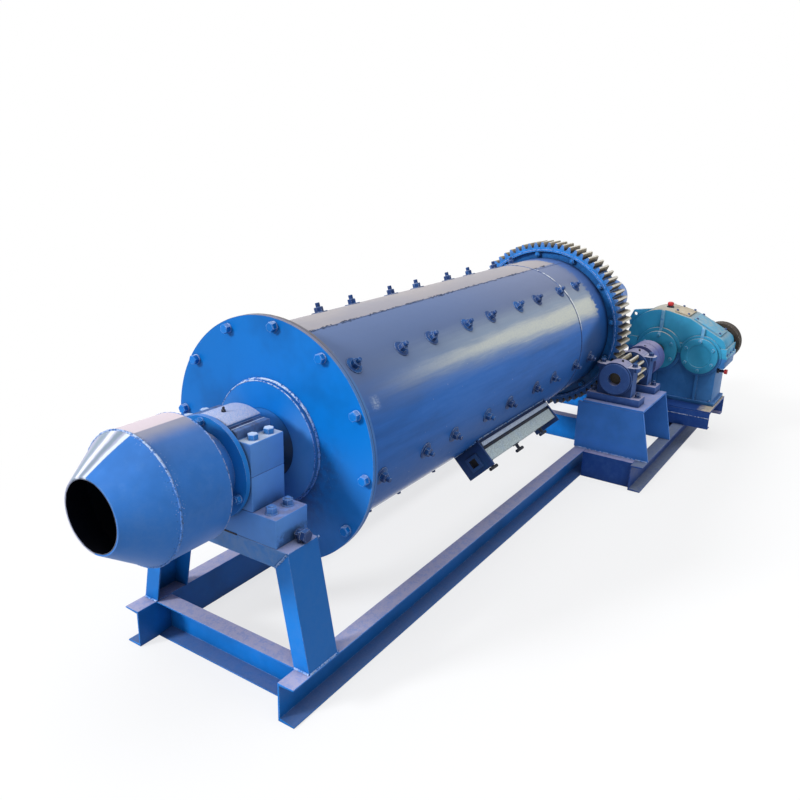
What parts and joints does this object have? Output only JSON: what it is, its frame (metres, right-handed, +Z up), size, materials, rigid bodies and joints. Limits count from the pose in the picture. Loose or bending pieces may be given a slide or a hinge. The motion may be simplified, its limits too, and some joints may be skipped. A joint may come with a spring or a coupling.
{
  "type": "ball mill",
  "caption": "Grinding mill: horizontal flanged drum on trunnion bearings and a channel frame, feed cone, ring gear with pinion, reducer and drive wheel.",
  "frame": {"origin": "on the floor, under the middle of the bounding box", "axes": "+X along the drum from the feed end to the drive end, +Y away from the pinion and reducer side, +Z up"},
  "size_m": [4.956, 1.626, 1.455],
  "materials": {
    "frame_blue": "bright gloss paint with overspray",
    "bearing_blue": "painted casting, dusty",
    "stand_navy": "gloss paint in shade",
    "drum_blue": "satin paint with pale overspray",
    "reducer_teal": "gloss paint on a casting",
    "bare_steel": "bare machined steel, oiled",
    "wheel_brown": "oily rust-brown casting",
    "cover_tan": "dusty plate"
  },
  "bodies": {
    "frame": {"left_rail": "frame_blue", "right_rail": "frame_blue", "outer_rail": "frame_blue", "stand_cross_channels": "frame_blue", "end_cross_channel": "frame_blue", "subframe_cross_channels": "frame_blue", "feed_stand_legs": "frame_blue", "feed_stand_beam": "frame_blue", "discharge_stand_legs": "frame_blue", "discharge_stand_beam": "frame_blue", "feed_bearing_base": "bearing_blue", "feed_bearing_housing": "bearing_blue", "feed_bearing_cap": "bearing_blue", "discharge_bearing_base": "bearing_blue", "discharge_bearing_housing": "bearing_blue", "discharge_bearing_cap": "bearing_blue", "plummer_housings": "bearing_blue", "plummer_caps": "bearing_blue", "pinion_stand_front_plate": "stand_navy", "pinion_stand_back_plate": "stand_navy", "pinion_stand_top_plate": "stand_navy", "reducer_base_channels": "stand_navy", "reducer_base_plate": "cover_tan", "reducer_lower_case": "reducer_teal", "reducer_upper_case": "reducer_teal", "reducer_bearing_covers": "reducer_teal", "reducer_inspection_covers": "cover_tan"},
    "drum": {"drum_shell": "drum_blue", "feed_end_plate": "frame_blue", "discharge_end_plate": "frame_blue", "feed_trunnion": "frame_blue", "discharge_trunnion": "frame_blue", "feed_ring_flange": "bearing_blue", "discharge_ring_flange": "bearing_blue", "feeder_nozzle": "frame_blue", "discharge_spout": "frame_blue", "ring_gear": "bare_steel", "hatch_frame": "drum_blue", "hatch_cover": "bare_steel"},
    "pinion_line": {"pinion": "bare_steel", "pinion_shaft": "bare_steel", "output_shaft": "bare_steel", "coupling_halves": "bare_steel"},
    "input_line": {"input_shaft": "bare_steel", "input_wheel": "wheel_brown"}
  },
  "joints": [
    {"name": "drum_spin", "type": "hinge", "parent": "frame", "child": "drum", "pos_m": [-0.246, 0.25804, 0.9], "axis": [1, 0, 0], "continuous": true},
    {"name": "pinion_spin", "type": "hinge", "parent": "frame", "child": "pinion_line", "pos_m": [1.162, -0.32401, 0.65891], "axis": [1, 0, 0], "continuous": true},
    {"name": "input_spin", "type": "hinge", "parent": "frame", "child": "input_line", "pos_m": [2.254, -0.66801, 0.69691], "axis": [1, 0, 0], "continuous": true}
  ],
  "couplings": [
    {"joint": "pinion_spin", "follows": "drum_spin", "ratio": -6},
    {"joint": "input_spin", "follows": "drum_spin", "ratio": -48}
  ]
}
